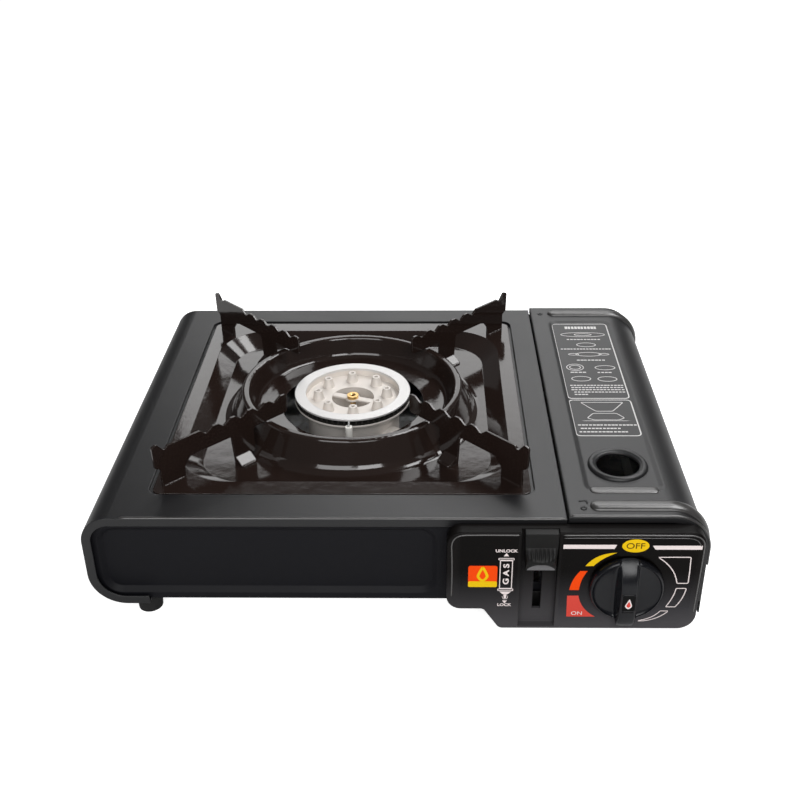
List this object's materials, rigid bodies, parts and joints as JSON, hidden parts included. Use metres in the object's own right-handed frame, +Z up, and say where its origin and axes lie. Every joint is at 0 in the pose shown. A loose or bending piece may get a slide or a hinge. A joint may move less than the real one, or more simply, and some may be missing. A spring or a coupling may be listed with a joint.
{
  "type": "portable butane stove",
  "caption": "Tabletop butane stove: steel case, enamelled pan with toothed trivet blades, ring burner, cartridge bay with hinged lid, lock lever and control knob.",
  "frame": {"origin": "on the table below the middle of the stove's box", "axes": "+X to the user's right, +Y to the back, +Z up"},
  "size_m": [0.3432, 0.2834, 0.0978],
  "materials": {
    "case_paint": "satin black paint",
    "panel_paint": "matt black paint",
    "zinc_steel": "zinc plated steel",
    "foot_rubber": "moulded rubber",
    "enamel": "glossy vitreous enamel",
    "cast_aluminium": "cast and part machined",
    "brass": "turned",
    "ceramic": "glazed ceramic insulator",
    "black_plastic": "fine moulded texture",
    "knob_plastic": "satin",
    "lead_jacket": "silicone insulation",
    "spring_steel": "drawn wire"
  },
  "bodies": {
    "stove": {"top_case": "case_paint", "front_panel": "panel_paint", "back_panel": "panel_paint", "base_tray": "zinc_steel", "partition": "zinc_steel", "left_feet": "foot_rubber", "right_feet": "foot_rubber", "burner_cap": "cast_aluminium", "burner_body": "cast_aluminium", "burner_bridge": "zinc_steel", "burner_nut": "brass", "mixing_tube": "zinc_steel", "gas_nozzle": "brass", "gas_pipe": "zinc_steel", "nozzle_bracket": "zinc_steel", "burner_bracket": "zinc_steel", "heat_shield": "zinc_steel", "electrode": "ceramic", "electrode_wire": "zinc_steel", "electrode_clip": "zinc_steel", "igniter": "black_plastic", "ignition_lead": "lead_jacket", "regulator_body": "cast_aluminium", "regulator_cap": "zinc_steel", "cartridge_socket": "cast_aluminium", "control_panel": "black_plastic", "control_screws": "zinc_steel", "pusher_guides": "zinc_steel", "return_spring": "spring_steel", "hinge_pins": "zinc_steel", "regulator_screws": "zinc_steel", "floor_screws": "zinc_steel", "bay_pads": "black_plastic"},
    "pan_support": {"drip_pan": "enamel", "trivet_blade_front_left": "enamel", "trivet_blade_front_right": "enamel", "trivet_blade_back_right": "enamel", "trivet_blade_back_left": "enamel"},
    "lid": {"cartridge_lid": "case_paint"},
    "knob": {"control_knob": "knob_plastic", "valve_spindle": "brass"},
    "lever": {"lock_lever": "black_plastic", "lever_slide": "zinc_steel"},
    "pusher": {"pusher": "zinc_steel"}
  },
  "joints": [
    {"name": "pan_lift", "type": "slide", "parent": "stove", "child": "pan_support", "axis": [0, 0, 1], "range_m": [0, 0.07]},
    {"name": "lid_hinge", "type": "hinge", "parent": "stove", "child": "lid", "pos_m": [0.1664, 0.0097, 0.009], "axis": [0, 1, 0], "range_deg": [0, 90]},
    {"name": "knob_turn", "type": "hinge", "parent": "stove", "child": "knob", "pos_m": [0.1259, -0.1313, 0.0327], "axis": [0, -1, 0], "range_deg": [0, 120]},
    {"name": "lock_slide", "type": "slide", "parent": "stove", "child": "lever", "axis": [0, 0, -1], "range_m": [0, 0.024]},
    {"name": "pusher_slide", "type": "slide", "parent": "stove", "child": "pusher", "axis": [0, -1, 0], "range_m": [0, 0.009], "deforming": ["return_spring"]}
  ],
  "couplings": [
    {"joint": "pusher_slide", "follows": "lock_slide", "ratio": 0.375}
  ]
}
